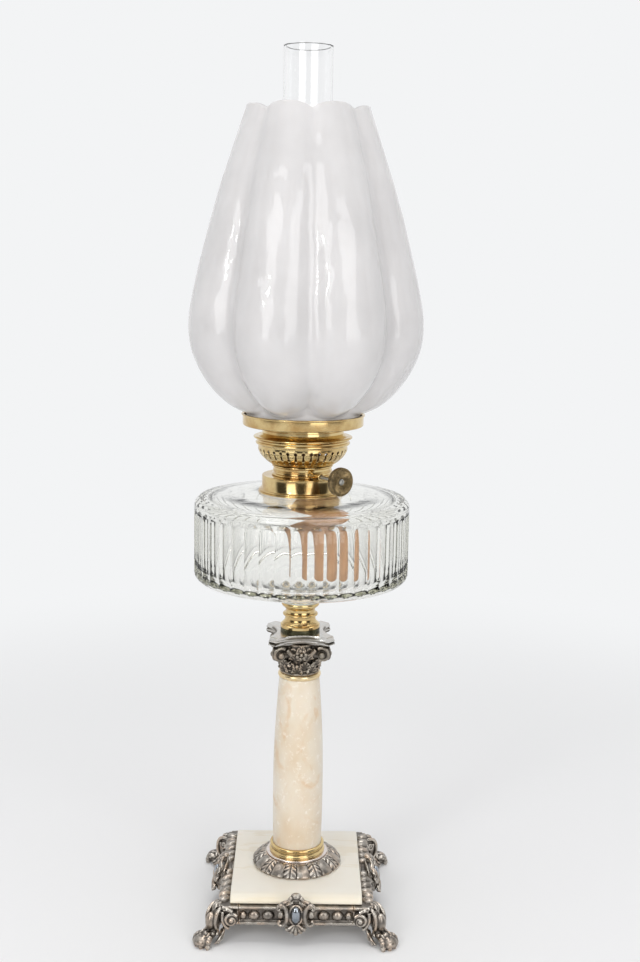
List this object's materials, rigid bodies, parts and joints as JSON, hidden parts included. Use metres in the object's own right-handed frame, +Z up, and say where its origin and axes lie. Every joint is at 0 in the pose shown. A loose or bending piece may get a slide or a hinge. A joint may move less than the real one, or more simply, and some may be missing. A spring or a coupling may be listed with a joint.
{
  "type": "kerosene table lamp",
  "caption": "Tall kerosene table lamp: paw-footed cast frame and stone slab, stone column, leafy capital, fluted glass oil font, round-wick burner, glass chimney and lobed shade.",
  "frame": {"origin": "on the table, under the middle of the column", "axes": "+Z up the column, +X to the viewer's right, -Y towards the viewer"},
  "size_m": [0.1996, 0.1996, 0.7595],
  "materials": {
    "brass": "polished",
    "bronze": "dark aged",
    "cast_metal": "silvered cast zinc, aged",
    "steel": "plain",
    "marble": "polished",
    "alabaster": "polished",
    "plaster": "matte",
    "cotton": "woven",
    "clear_glass": "clear",
    "satin_glass": "satin white"
  },
  "bodies": {
    "stand": {"foot_front_left": "cast_metal", "foot_front_right": "cast_metal", "foot_back_left": "cast_metal", "foot_back_right": "cast_metal", "rail_front": "cast_metal", "rail_right": "cast_metal", "rail_back": "cast_metal", "rail_left": "cast_metal", "plinth_slab": "marble", "rod_washer": "steel", "rod_nut": "steel", "tie_rod": "steel", "foot_ring": "cast_metal", "base_flange": "cast_metal", "base_ring": "brass", "column": "alabaster", "neck_ring": "brass", "capital": "cast_metal", "abacus": "cast_metal", "spool_washer": "steel", "font_spool": "brass", "peg_cement": "plaster", "font": "clear_glass", "collar_cement": "plaster", "font_collar": "brass"},
    "burner": {"burner_neck": "brass", "air_basket": "brass", "wick_tube": "brass", "air_plate": "brass", "wick_guide": "brass", "spindle_bracket": "brass", "spindle_bush": "brass"},
    "winder": {"winder_spindle": "steel", "winder_wheel_inner": "brass", "winder_wheel_outer": "brass", "winder_knob": "bronze", "knob_screw": "steel"},
    "wick": {"wick": "cotton"},
    "gallery": {"gallery_skirt": "brass", "chimney_crown": "brass", "shade_ring": "brass"},
    "chimney": {"chimney": "clear_glass"},
    "shade": {"shade": "satin_glass"}
  },
  "joints": [
    {"name": "burner_lift", "type": "slide", "parent": "stand", "child": "burner", "axis": [0, 0, 1], "range_m": [0, 0.13], "deforming": ["wick"]},
    {"name": "wick_winder", "type": "hinge", "parent": "burner", "child": "winder", "pos_m": [-0.00736, -0.00535, 0.404], "axis": [0.5878, -0.809, 0], "range_deg": [-71.62, 148.97]},
    {"name": "wick_travel", "type": "slide", "parent": "burner", "child": "wick", "axis": [0, 0, 1], "range_m": [-0.00501, 0.01041]},
    {"name": "gallery_lift", "type": "slide", "parent": "burner", "child": "gallery", "axis": [0, 0, 1], "range_m": [0, 0.05]},
    {"name": "chimney_lift", "type": "slide", "parent": "gallery", "child": "chimney", "axis": [0, 0, 1], "range_m": [0, 0.33]},
    {"name": "shade_lift", "type": "slide", "parent": "gallery", "child": "shade", "axis": [0, 0, 1], "range_m": [0, 0.33]}
  ],
  "couplings": [
    {"joint": "wick_travel", "follows": "wick_winder", "m_per_rad": 0.004}
  ]
}
